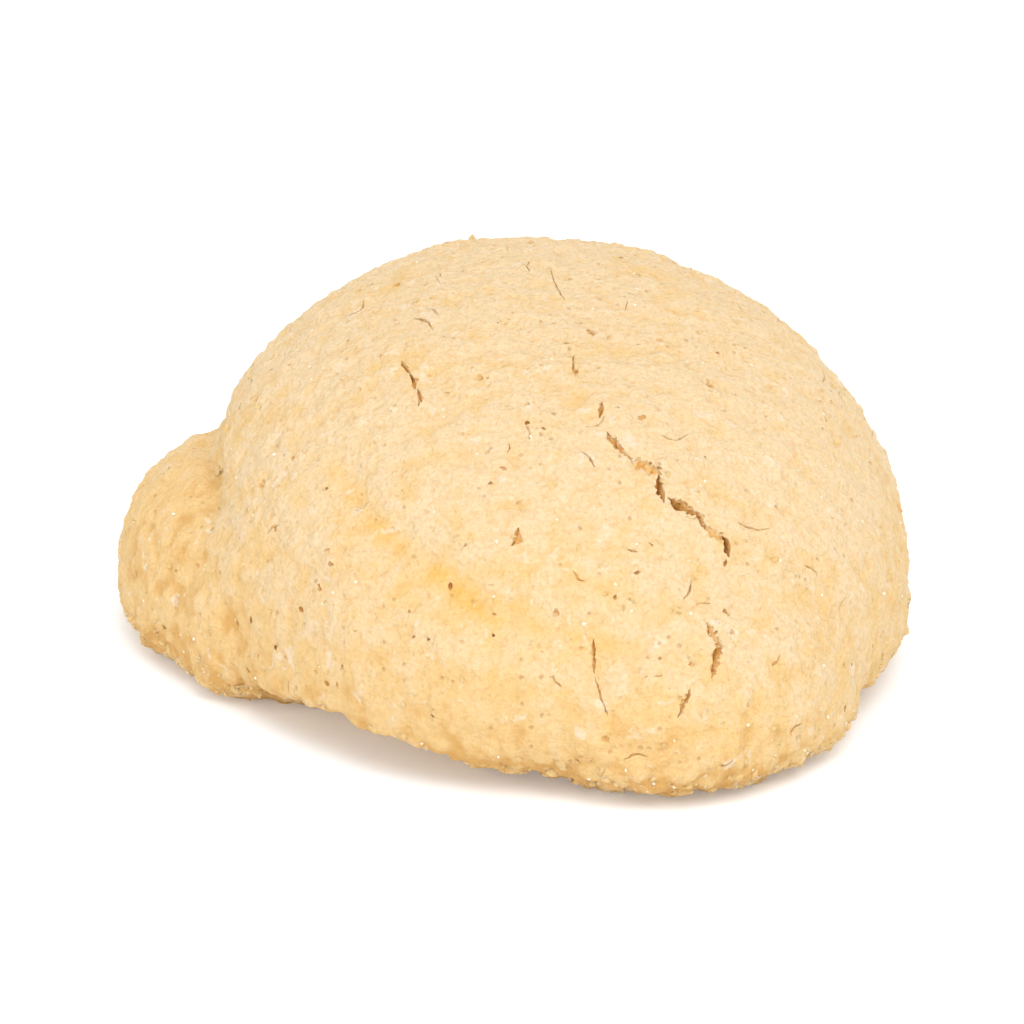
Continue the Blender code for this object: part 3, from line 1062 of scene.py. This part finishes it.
    def flecks(self, points: np.ndarray, normals: np.ndarray, skin: BVHTree) -> np.ndarray:
        """Where the smooth pale flecks are.

        Args:
            points: The body's points, in metres.
            normals: Their normals.
            skin: The surface that the flecks are dropped on.

        Returns:
            For each point 1 in the middle of a fleck and 0 outside.
        """
        rng = np.random.default_rng(self.seed + 2)
        across, up, _ = Sight().ways()
        spots = []
        for x, y, heading, length, width in SHOWN_FLECKS:
            place, _ = Sight().drop(skin, x, y)
            if place is not None:
                turn = math.radians(heading)
                spots.append((place, across * math.cos(turn) + up * math.sin(turn), length, width))
        for index in rng.integers(len(points), size=self.loose_flecks):
            length = rng.uniform(0.6, 1.6)
            heading = Vector(rng.normal(size=3))
            spots.append((Vector(points[index]), heading, length, length * rng.uniform(0.4, 0.8)))
        value = np.zeros(len(points))
        for place, heading, length, width in spots:
            apart = (points - np.array(place)) / MM
            near = np.nonzero((np.abs(apart) < length).all(axis=1))[0]
            flat = apart[near] - (apart[near] * normals[near]).sum(1)[:, None] * normals[near]
            along = flat @ np.array(heading.normalized())
            aside = np.sqrt(np.clip((flat**2).sum(1) - along**2, 0.0, None))
            reach = np.hypot(along / (length / 2), aside / (width / 2))
            value[near] = np.maximum(value[near], np.clip(1.5 - reach, 0.0, 1.0))
        return value

    def build(self) -> bpy.types.Object:
        """Builds the whole body and puts it where its solid is.

        Returns:
            The finished piece, without its material.
        """
        body = self.form()
        smooth = self.refine(body)
        skin = tree_of(body)
        self.cut_marks(body)
        self.flatten(body)
        self.tint(body, skin, smooth)
        body.data.transform(Matrix.Translation(CENTRING * MM))
        pick(body)
        bpy.ops.object.shade_smooth_by_angle(angle=math.radians(50))
        LOG.info("dough_body: %d triangles", triangles(body))
        return body


# Crumbs and sugar


@dataclass(frozen=True)
class Scatter:
    """Small things of one kind, half sunk in the skin. Sizes in mm."""

    name: str
    count: int
    sizes: tuple[float, float]
    size_bias: float
    squash: tuple[float, float]
    sunk: float
    rim_share: float
    soft_edge: float
    seed: int
    rim_reach: float = 2.2
    lowest: float = 0.25
    steepest: float = -0.75

    def spots(self, body: bpy.types.Object, rng: np.random.Generator) -> np.ndarray:
        """Picks the faces that carry them, more of them at the rim.

        Args:
            body: What they lie on.
            rng: The random draws.

        Returns:
            Face numbers.
        """
        faces = body.data.polygons
        area = rows_of(faces, "area", 1)[:, 0]
        height = rows_of(faces, "center")[:, 2] / MM
        lying = (rows_of(faces, "normal")[:, 2] > self.steepest) & (height > self.lowest)
        rim = area * lying * bell(height, self.rim_reach)
        skin = area * lying
        chance = self.rim_share * rim / rim.sum() + (1 - self.rim_share) * skin / skin.sum()
        return rng.choice(len(faces), self.count, p=chance / chance.sum())

    def build(self, body: bpy.types.Object, shapes: list) -> bpy.types.Object:
        """Stamps the shapes onto the body as one joined mesh.

        Args:
            body: What they lie on.
            shapes: Rows of points and faces of each model.

        Returns:
            The piece, without its material.
        """
        rng = np.random.default_rng(self.seed)
        rows, faces, first = [], [], 0
        for number in self.spots(body, rng):
            face = body.data.polygons[int(number)]
            shape, corners = shapes[rng.integers(len(shapes))]
            low, high = self.sizes
            radius = (low + (high - low) * rng.random() ** self.size_bias) / 2 * MM
            stretch = np.array([rng.uniform(*self.squash) for _ in range(3)]) * radius
            turn = random_turn(rng, 2 * math.pi)
            placed = (shape * stretch) @ turn.T + np.array(face.center - face.normal * radius * self.sunk)
            placed[:, 2] = np.maximum(placed[:, 2], 0.02 * MM)
            rows.append(placed)
            faces.extend([tuple(corner + first for corner in face_corners) for face_corners in corners])
            first += len(shape)
        made = mesh_piece(self.name, np.concatenate(rows), faces)
        pick(made)
        bpy.ops.object.shade_smooth_by_angle(angle=math.radians(self.soft_edge))
        LOG.info("%s: %d triangles", self.name, triangles(made))
        return made


RIM_CRUMBS = Scatter(
    name="rim_crumbs",
    count=1500,
    sizes=(0.18, 0.95),
    size_bias=2.2,
    squash=(0.55, 1.3),
    sunk=0.30,
    rim_share=0.82,
    soft_edge=60,
    seed=21,
)
SUGAR_GRAINS = Scatter(
    name="sugar_grains",
    count=420,
    sizes=(0.14, 0.36),
    size_bias=1.8,
    squash=(0.75, 1.2),
    sunk=0.45,
    rim_share=0.45,
    soft_edge=25,
    seed=22,
)


def crumb_shapes(models: int, seed: int) -> list:
    """Angular, lumpy models of a crumb, each the hull of a few random points.

    Args:
        models: How many.
        seed: The first random draw.

    Returns:
        Rows of points and faces of each.
    """
    rng = np.random.default_rng(seed)
    made = []
    for _ in range(models):
        spots = rng.normal(size=(15, 3))
        spots /= np.linalg.norm(spots, axis=1)[:, None]
        crumb = mesh_piece("crumb", spots * rng.uniform(0.72, 1.15, (15, 1)), [])
        pick(crumb)
        bpy.ops.object.mode_set(mode="EDIT")
        bpy.ops.mesh.select_all(action="SELECT")
        bpy.ops.mesh.convex_hull(face_threshold=0, shape_threshold=0)
        bpy.ops.mesh.normals_make_consistent(inside=False)
        bpy.ops.object.mode_set(mode="OBJECT")
        made.append((points_of(crumb), [tuple(face.vertices) for face in crumb.data.polygons]))
        bpy.data.objects.remove(crumb)
    return made


def crystal_shapes(models: int, seed: int) -> list:
    """Models of a sugar crystal: a bevelled block with its corners a little off.

    Args:
        models: How many.
        seed: The first random draw.

    Returns:
        Rows of points and faces of each.
    """
    rng = np.random.default_rng(seed)
    made = []
    for _ in range(models):
        deselect()
        bpy.ops.mesh.primitive_cube_add(size=1.5, location=(0, 0, 0))
        block = bpy.context.active_object
        bpy.ops.object.mode_set(mode="EDIT")
        bpy.ops.mesh.select_all(action="SELECT")
        bpy.ops.mesh.bevel(offset=0.22, offset_pct=0, segments=1)
        bpy.ops.object.mode_set(mode="OBJECT")
        points = points_of(block)
        points = points + rng.uniform(-0.10, 0.10, points.shape)
        made.append((points, [tuple(face.vertices) for face in block.data.polygons]))
        bpy.data.objects.remove(block)
    return made


# Finishes


class Nodes:
    """Lays out and links the nodes of one tree."""

    def __init__(self, tree: bpy.types.NodeTree) -> None:
        """Starts on a tree.

        Args:
            tree: The material's or the group's tree.
        """
        self.tree = tree
        self.column = 0

    def add(self, kind: str, **inputs: object) -> bpy.types.Node:
        """Adds a node and sets its inputs and settings.

        Args:
            kind: Blender's node type.
            **inputs: A setting or, in capitals, an input by its name with underscores for spaces. A socket is
                linked and any other value is set.

        Returns:
            The node.
        """
        node = self.tree.nodes.new(kind)
        node.location = (self.column * 190, 0)
        self.column += 1
        for name, value in inputs.items():
            if not name[0].isupper():
                setattr(node, name, value)
                continue
            self.feed(self.socket(node, name.replace("_", " ")), value)
        return node

    def socket(self, node: bpy.types.Node, name: str) -> bpy.types.NodeSocket:
        """Finds an enabled input.

        Args:
            node: The node.
            name: The input's name.

        Returns:
            The input.
        """
        for socket in node.inputs:
            if socket.name == name and socket.enabled:
                return socket
        raise KeyError(name)

    def math(
        self, operation: str, first: object, second: object = 0.0, clamp: bool = False
    ) -> bpy.types.NodeSocket:
        """A sum on two values, each a socket or a number.

        Args:
            operation: Blender's name for it.
            first: The first value.
            second: The second value.
            clamp: Whether the result stays within 0 and 1.

        Returns:
            The result.
        """
        node = self.add("ShaderNodeMath", operation=operation, use_clamp=clamp)
        for socket, value in zip(node.inputs, (first, second)):
            self.feed(socket, value)
        return node.outputs[0]

    def plus(self, first: object, second: object) -> bpy.types.NodeSocket:
        """One value added to another."""
        return self.math("ADD", first, second)

    def scaled(self, value: object, share: float) -> bpy.types.NodeSocket:
        """A value times a number."""
        return self.math("MULTIPLY", value, share)

    def noise(
        self, place: bpy.types.NodeSocket, scale: float, detail: float, rough: float = 0.5, twist: float = 0.0
    ) -> bpy.types.NodeSocket:
        """A soft noise.

        Args:
            place: Where it is read.
            scale: Its scale, in waves for each metre.
            detail: How many finer waves it has.
            rough: How strong they are.
            twist: How far it is drawn out of shape.

        Returns:
            Its value, around a half.
        """
        node = self.add(
            "ShaderNodeTexNoise", Vector=place, Scale=scale, Detail=detail, Roughness=rough, Distortion=twist
        )
        return node.outputs["Fac"]

    def ramp(self, value: bpy.types.NodeSocket, low: float, high: float) -> bpy.types.NodeSocket:
        """Turns a value into a soft mask.

        Args:
            value: The value.
            low: Where the mask is 0.
            high: Where it is 1. It may be below the other, and the mask then falls as the value rises.

        Returns:
            The mask.
        """
        turned = low > high
        node = self.add(
            "ShaderNodeMapRange",
            interpolation_type="SMOOTHSTEP",
            Value=value,
            From_Min=min(low, high),
            From_Max=max(low, high),
            To_Min=1.0 if turned else 0.0,
            To_Max=0.0 if turned else 1.0,
        )
        return node.outputs[0]

    def blend(self, share: object, under: object, over: object) -> bpy.types.NodeSocket:
        """Lays one colour over another.

        Args:
            share: How much of the upper one shows.
            under: The lower colour or socket.
            over: The upper colour or socket.

        Returns:
            The mixed colour.
        """
        node = self.add("ShaderNodeMix", data_type="RGBA")
        for socket, value in ((node.inputs[0], share), (node.inputs[6], under), (node.inputs[7], over)):
            self.feed(socket, value)
        return node.outputs[2]

    def feed(self, socket: bpy.types.NodeSocket, value: object) -> None:
        """Links a socket to another one, or sets it to a value.

        Args:
            socket: The input.
            value: The output that it is linked to, or the value.
        """
        if isinstance(value, bpy.types.NodeSocket):
            self.tree.links.new(value, socket)
        else:
            socket.default_value = value


def fresh_material(name: str) -> tuple[bpy.types.Material, Nodes, bpy.types.NodeSocket]:
    """Starts a material.

    Args:
        name: Its name.

    Returns:
        The material, its nodes, and the place on the piece that its patterns read.
    """
    material = bpy.data.materials.new(name)
    material.use_nodes = True
    material.node_tree.nodes.clear()
    nodes = Nodes(material.node_tree)
    place = nodes.add("ShaderNodeTexCoord").outputs["Object"]
    centred = nodes.add("ShaderNodeMapping", Vector=place, Location=PATTERN_SHIFT).outputs[0]
    return material, nodes, centred


@dataclass(frozen=True)
class CrumbTexture:
    """The patterns that every dough finish shares: mottling, sand, hairlines, specks and their relief.

    A scale is in waves for each metre. A span is a noise's value where its mask starts and where it is full.
    """

    mottle_scale: float = 110.0
    mottle_span: tuple[float, float] = (0.32, 0.68)
    patch_scale: float = 480.0
    patch_span: tuple[float, float] = (0.35, 0.68)
    line_scale: float = 560.0
    line_span: tuple[float, float] = (0.040, 0.006)
    line_places_scale: float = 640.0
    line_places_span: tuple[float, float] = (0.57, 0.66)
    speck_scale: float = 1500.0
    speck_chance_span: tuple[float, float] = (0.80, 0.92)
    speck_ragged_scale: float = 4200.0
    speck_ragged: float = 0.30
    speck_span: tuple[float, float] = (0.42, 0.20)
    pale_scale: float = 700.0
    pale_span: tuple[float, float] = (0.62, 0.74)
    sand_scale: float = 3000.0
    grain_scale: float = 2600.0
    lump_scale: float = 1300.0
    torn_scale: float = 1500.0
    grain_relief: float = -0.35
    lump_relief: float = 0.8
    hairline_relief: float = -0.10
    speck_relief: float = -0.55

    def group(self) -> bpy.types.ShaderNodeTree:
        """Builds the node group.

        Returns:
            The group, with a Vector input and value outputs.
        """
        group = bpy.data.node_groups.new("crumb_texture", "ShaderNodeTree")
        group.interface.new_socket("Vector", in_out="INPUT", socket_type="NodeSocketVector")
        nodes = Nodes(group)
        place = nodes.add("NodeGroupInput").outputs["Vector"]

        line = nodes.noise(place, self.line_scale, 1.0, 0.5, 0.5)
        line = nodes.math("ABSOLUTE", nodes.math("SUBTRACT", line, 0.5))
        line_places = nodes.ramp(nodes.noise(place, self.line_places_scale, 1.0), *self.line_places_span)
        hairline = nodes.math("MULTIPLY", nodes.ramp(line, *self.line_span), line_places)
        cells = nodes.add("ShaderNodeTexVoronoi", Vector=place, Scale=self.speck_scale, Randomness=1.0)
        chance = nodes.add("ShaderNodeSeparateColor", Color=cells.outputs["Color"]).outputs[0]
        ragged = nodes.scaled(nodes.noise(place, self.speck_ragged_scale, 1.0), self.speck_ragged)
        ragged = nodes.ramp(nodes.plus(cells.outputs["Distance"], ragged), *self.speck_span)
        speck = nodes.math("MULTIPLY", ragged, nodes.ramp(chance, *self.speck_chance_span))
        sand = nodes.noise(place, self.sand_scale, 3.0, 0.7)
        grains = nodes.add("ShaderNodeTexVoronoi", Vector=place, Scale=self.grain_scale, Randomness=1.0)
        grain = grains.outputs["Distance"]
        relief = sand
        for pattern, height in (
            (grain, self.grain_relief),
            (nodes.noise(place, self.lump_scale, 2.0, 0.6), self.lump_relief),
            (hairline, self.hairline_relief),
            (speck, self.speck_relief),
        ):
            relief = nodes.plus(relief, nodes.scaled(pattern, height))
        values = {
            "Mottle": nodes.ramp(nodes.noise(place, self.mottle_scale, 2.0), *self.mottle_span),
            "Patch": nodes.ramp(nodes.noise(place, self.patch_scale, 3.0), *self.patch_span),
            "Hairline": hairline,
            "Speck": speck,
            "Pale": nodes.ramp(nodes.noise(place, self.pale_scale, 2.0, 0.55, 0.5), *self.pale_span),
            "Sand": sand,
            "Grain": grain,
            "Torn": nodes.noise(place, self.torn_scale, 3.0, 0.65, 0.6),
            "Relief": relief,
        }
        for name in values:
            group.interface.new_socket(name, in_out="OUTPUT", socket_type="NodeSocketFloat")
        out = nodes.add("NodeGroupOutput")
        for name, value in values.items():
            group.links.new(value, out.inputs[name])
        return group


@dataclass(frozen=True)
class DoughFinish:
    """Matt, sandy, pale golden dough, more golden where it is low and browner at the rim, with painted shade
    in its hollows, along its creases and deep in its cuts.
    """

    name: str
    pale: Colour = (0.742, 0.566, 0.345, 1.0)
    golden: Colour = (0.738, 0.503, 0.226, 1.0)
    # Toasted brown, also the colour of the painted shade in the hollows and between the grains.
    toasted_and_shade: Colour = (0.640, 0.365, 0.115, 1.0)
    # The colour of the painted shade along the crease.
    crease_shade_colour: Colour = (0.750, 0.455, 0.125, 1.0)
    scar: Colour = (0.765, 0.425, 0.118, 1.0)
    # The colour of the painted shade deep in the cuts.
    deep: Colour = (0.515, 0.245, 0.048, 1.0)
    speck: Colour = (0.580, 0.260, 0.070, 1.0)
    floury: Colour = (0.780, 0.640, 0.470, 1.0)
    warmth: float = 0.10
    mottle_gain: float = 0.56
    patch_gain: float = 0.76
    toast_gain: float = 1.10
    # How much more golden the crumb's hollows are painted, as painted shade.
    hollow_shade_gain: float = 1.8
    toasted_span: tuple[float, float] = (0.95, 1.85)
    pale_share: float = 0.70
    hollow_share: float = 0.34
    between_share: float = 0.22
    hairline_share: float = 0.12
    speck_share: float = 0.42
    crease_share: float = 0.95
    crease_patch: float = 0.6
    crease_even: float = 0.5
    fleck_share: float = 0.75
    fleck_torn: float = 1.5
    fleck_span: tuple[float, float] = (1.37, 1.70)
    hollow_span: tuple[float, float] = (0.52, 0.32)
    between_span: tuple[float, float] = (0.45, 0.75)
    scar_share: float = 0.85
    scar_span: tuple[float, float] = (0.05, 0.40)
    deep_shade_span: tuple[float, float] = (0.32, 0.80)
    roughness: tuple[float, float] = (0.72, 0.92)
    bump_mm: float = 0.22
    specular: float = 0.28
    glow: float = 0.18
    glow_radius: tuple[float, float, float] = (1.0, 0.55, 0.22)
    glow_mm: float = 0.8
    reads_body: bool = True

    def material(self, group: bpy.types.ShaderNodeTree) -> bpy.types.Material:
        """Builds the finish.

        Args:
            group: The shared crumb texture.

        Returns:
            The material.
        """
        material, nodes, centred = fresh_material(self.name)
        crumb = nodes.add("ShaderNodeGroup", node_tree=group)
        material.node_tree.links.new(centred, crumb.inputs["Vector"])
        colour = self.colour(nodes, crumb)
        shader = nodes.add("ShaderNodeBsdfPrincipled")
        links = material.node_tree.links
        links.new(colour, shader.inputs["Base Color"])
        smoothest, roughest = self.roughness
        rough = nodes.add(
            "ShaderNodeMapRange", Value=crumb.outputs["Sand"], To_Min=smoothest, To_Max=roughest
        )
        links.new(rough.outputs[0], shader.inputs["Roughness"])
        shader.inputs["Specular IOR Level"].default_value = self.specular
        shader.inputs["Subsurface Weight"].default_value = self.glow
        shader.inputs["Subsurface Radius"].default_value = self.glow_radius
        shader.inputs["Subsurface Scale"].default_value = self.glow_mm * MM
        bump = nodes.add(
            "ShaderNodeBump", Strength=1.0, Distance=self.bump_mm * MM, Height=crumb.outputs["Relief"]
        )
        links.new(bump.outputs[0], shader.inputs["Normal"])
        out = nodes.add("ShaderNodeOutputMaterial")
        links.new(shader.outputs[0], out.inputs["Surface"])
        return material

    def colour(self, nodes: Nodes, crumb: bpy.types.Node) -> bpy.types.NodeSocket:
        """Works out the dough's colour.

        Args:
            nodes: The material's nodes.
            crumb: The shared crumb texture in it.

        Returns:
            The colour.
        """
        mottle, patch = crumb.outputs["Mottle"], crumb.outputs["Patch"]
        # The browning and painted shade that the body carries; an even middle value for pieces that carry
        # none.
        toast_and_shade = self.body_value(nodes, "toast_and_shade") if self.reads_body else 0.5
        warm = nodes.scaled(nodes.math("SUBTRACT", mottle, 0.5), self.mottle_gain)
        warm = nodes.plus(warm, nodes.scaled(nodes.math("SUBTRACT", patch, 0.5), self.patch_gain))
        warm = nodes.plus(warm, nodes.scaled(toast_and_shade, self.toast_gain))
        if self.reads_body:
            # Painted shade: more golden where the crumb sinks below its smooth surface, paler on its tops.
            warm = nodes.plus(warm, nodes.scaled(self.body_value(nodes, "rise"), -self.hollow_shade_gain))
        golden = nodes.math("ADD", warm, self.warmth, clamp=True)
        colour = nodes.blend(golden, self.pale, self.golden)
        colour = nodes.blend(nodes.ramp(warm, *self.toasted_span), colour, self.toasted_and_shade)
        pale = nodes.scaled(crumb.outputs["Pale"], self.pale_share)
        if self.reads_body:
            # Painted shade along the crease groove, uneven with the patches.
            crease = self.body_value(nodes, "crease")
            uneven = nodes.plus(nodes.scaled(patch, self.crease_patch), self.crease_even)
            crease_shade = nodes.math("MULTIPLY", crease, uneven)
            crease_shade = nodes.math("MULTIPLY", crease_shade, self.crease_share, clamp=True)
            colour = nodes.blend(crease_shade, colour, self.crease_shade_colour)
            torn = nodes.scaled(crumb.outputs["Torn"], self.fleck_torn)
            fleck = nodes.ramp(nodes.plus(self.body_value(nodes, "fleck"), torn), *self.fleck_span)
            pale = nodes.math("MAXIMUM", pale, nodes.scaled(fleck, self.fleck_share))
        colour = nodes.blend(pale, colour, self.floury)
        # Painted shade: toasted brown in the hollows of the sand and between the grains; darker along the
        # hairlines and in the brown specks.
        hollow = nodes.ramp(crumb.outputs["Sand"], *self.hollow_span)
        hollow = nodes.math("MULTIPLY", hollow, nodes.math("SUBTRACT", 1.0, pale))
        between = nodes.ramp(crumb.outputs["Grain"], *self.between_span)
        for mask, share, over in (
            (hollow, self.hollow_share, self.toasted_and_shade),
            (between, self.between_share, self.toasted_and_shade),
            (crumb.outputs["Hairline"], self.hairline_share, self.toasted_and_shade),
            (crumb.outputs["Speck"], self.speck_share, self.speck),
        ):
            colour = nodes.blend(nodes.scaled(mask, share), colour, over)
        if self.reads_body:
            # The cuts: more orange where shallow, partly the crumb's own colour, and painted darker brown the
            # deeper they go, as painted shade.
            cavity = self.body_value(nodes, "cavity")
            scar = nodes.scaled(nodes.ramp(cavity, *self.scar_span), self.scar_share)
            colour = nodes.blend(scar, colour, self.scar)
            colour = nodes.blend(nodes.ramp(cavity, *self.deep_shade_span), colour, self.deep)
        return colour

    def body_value(self, nodes: Nodes, name: str) -> bpy.types.NodeSocket:
        """A value that the body's points carry."""
        return nodes.add("ShaderNodeAttribute", attribute_name=name).outputs["Fac"]


@dataclass(frozen=True)
class SugarFinish:
    """Small clear crystals, warm white from the dough under them."""

    name: str = "sugar_crystal"
    colour: Colour = (0.93, 0.83, 0.66, 1.0)
    tinted: Colour = (0.86, 0.68, 0.42, 1.0)
    tint_scale: float = 900.0
    tint_span: tuple[float, float] = (0.35, 0.65)
    roughness: tuple[float, float] = (0.18, 0.45)
    glow: float = 0.5
    glow_radius: tuple[float, float, float] = (1.0, 0.8, 0.5)
    glow_mm: float = 0.4

    def material(self) -> bpy.types.Material:
        """Builds the finish.

        Returns:
            The material.
        """
        material, nodes, centred = fresh_material(self.name)
        tint = nodes.noise(centred, self.tint_scale, 1.0)
        colour = nodes.blend(nodes.ramp(tint, *self.tint_span), self.colour, self.tinted)
        smoothest, roughest = self.roughness
        rough = nodes.add("ShaderNodeMapRange", Value=tint, To_Min=smoothest, To_Max=roughest).outputs[0]
        shader = nodes.add("ShaderNodeBsdfPrincipled")
        material.node_tree.links.new(colour, shader.inputs["Base Color"])
        material.node_tree.links.new(rough, shader.inputs["Roughness"])
        shader.inputs["Subsurface Weight"].default_value = self.glow
        shader.inputs["Subsurface Radius"].default_value = self.glow_radius
        shader.inputs["Subsurface Scale"].default_value = self.glow_mm * MM
        out = nodes.add("ShaderNodeOutputMaterial")
        material.node_tree.links.new(shader.outputs[0], out.inputs["Surface"])
        return material


# The studio


@dataclass(frozen=True)
class SoftLight:
    """A soft square light that faces the biscuit. Place and side in metres, power in watts."""

    name: str
    place: tuple[float, float, float]
    power: float
    size: float = 0.9

    def build(self) -> None:
        """Hangs the light."""
        data = bpy.data.lights.new(self.name, "AREA")
        data.size = self.size
        data.energy = self.power
        lamp = bpy.data.objects.new(self.name, data)
        bpy.context.scene.collection.objects.link(lamp)
        lamp.location = self.place
        lamp.rotation_euler = (-Vector(self.place)).to_track_quat("-Z", "Y").to_euler()


@dataclass
class Studio:
    """The pale floor, the soft light and the camera. Lengths in metres, the lens in millimetres."""

    distance: float = 1.15
    lens: float = 585.0
    aim: Vector = field(default_factory=lambda: Vector((0.0, 0.0, 0.0101)))
    floor_size: float = 6.0
    floor_colour: Colour = (0.885, 0.915, 0.95, 1.0)
    floor_glow: float = 0.18
    sky_strength: float = 1.04
    lights: tuple[SoftLight, ...] = (
        SoftLight("front", (0.24, -0.72, 1.12), 8.75),
        SoftLight("low_left", (-0.50, -0.95, 0.24), 2.1),
    )

    def floor(self) -> None:
        """A wide pale floor that glows a little, as a light table does, and isn't part of the biscuit."""
        deselect()
        bpy.ops.mesh.primitive_plane_add(size=self.floor_size, location=(0, 0, 0))
        floor = bpy.context.active_object
        floor.name = "floor"
        material = bpy.data.materials.new("pale_floor")
        material.use_nodes = True
        shader = material.node_tree.nodes["Principled BSDF"]
        shader.inputs["Base Color"].default_value = self.floor_colour
        shader.inputs["Roughness"].default_value = 0.9
        shader.inputs["Specular IOR Level"].default_value = 0.1
        shader.inputs["Emission Color"].default_value = self.floor_colour
        shader.inputs["Emission Strength"].default_value = self.floor_glow
        floor.data.materials.append(material)

    def sky(self) -> None:
        """Even white light from all round."""
        world = bpy.data.worlds.new("studio")
        world.use_nodes = True
        world.node_tree.nodes["Background"].inputs["Color"].default_value = (1.0, 1.0, 1.0, 1.0)
        world.node_tree.nodes["Background"].inputs["Strength"].default_value = self.sky_strength
        bpy.context.scene.world = world

    def camera(self) -> None:
        """The camera, at the photograph's height and side."""
        data = bpy.data.cameras.new("camera")
        data.lens = self.lens
        data.clip_start = 0.01
        data.clip_end = 20.0
        camera = bpy.data.objects.new("camera", data)
        bpy.context.scene.collection.objects.link(camera)
        back = Vector((0.0, -math.cos(SIGHT_RISE), math.sin(SIGHT_RISE)))
        camera.location = self.aim + back * self.distance
        camera.rotation_euler = (-back).to_track_quat("-Z", "Y").to_euler()
        bpy.context.scene.camera = camera

    def build(self) -> None:
        """Sets the whole studio up."""
        self.floor()
        for light in self.lights:
            light.build()
        self.sky()
        self.camera()
        bpy.context.scene.view_settings.view_transform = "Standard"


def hand_over(piece: bpy.types.Object, material: bpy.types.Material) -> None:
    """Gives a piece its finish and its place in the table.

    Args:
        piece: A finished piece.
        material: Its material.
    """
    piece.data.materials.clear()
    piece.data.materials.append(material)
    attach(piece, BODY)


def main() -> None:
    """Builds the biscuit and its studio."""
    logging.basicConfig(level=logging.INFO, format="%(name)s %(message)s")
    group = CrumbTexture().group()
    body = DoughBody().build()
    hand_over(body, DoughFinish("sandy_dough").material(group))
    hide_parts(NODE)
    crumbs = RIM_CRUMBS.build(body, crumb_shapes(models=5, seed=3))
    hand_over(crumbs, DoughFinish("crumb_dough", reads_body=False, toast_gain=1.32).material(group))
    sugar = SUGAR_GRAINS.build(body, crystal_shapes(models=4, seed=4))
    hand_over(sugar, SugarFinish().material())
    Studio().build()


if __name__ == "__main__":
    main()
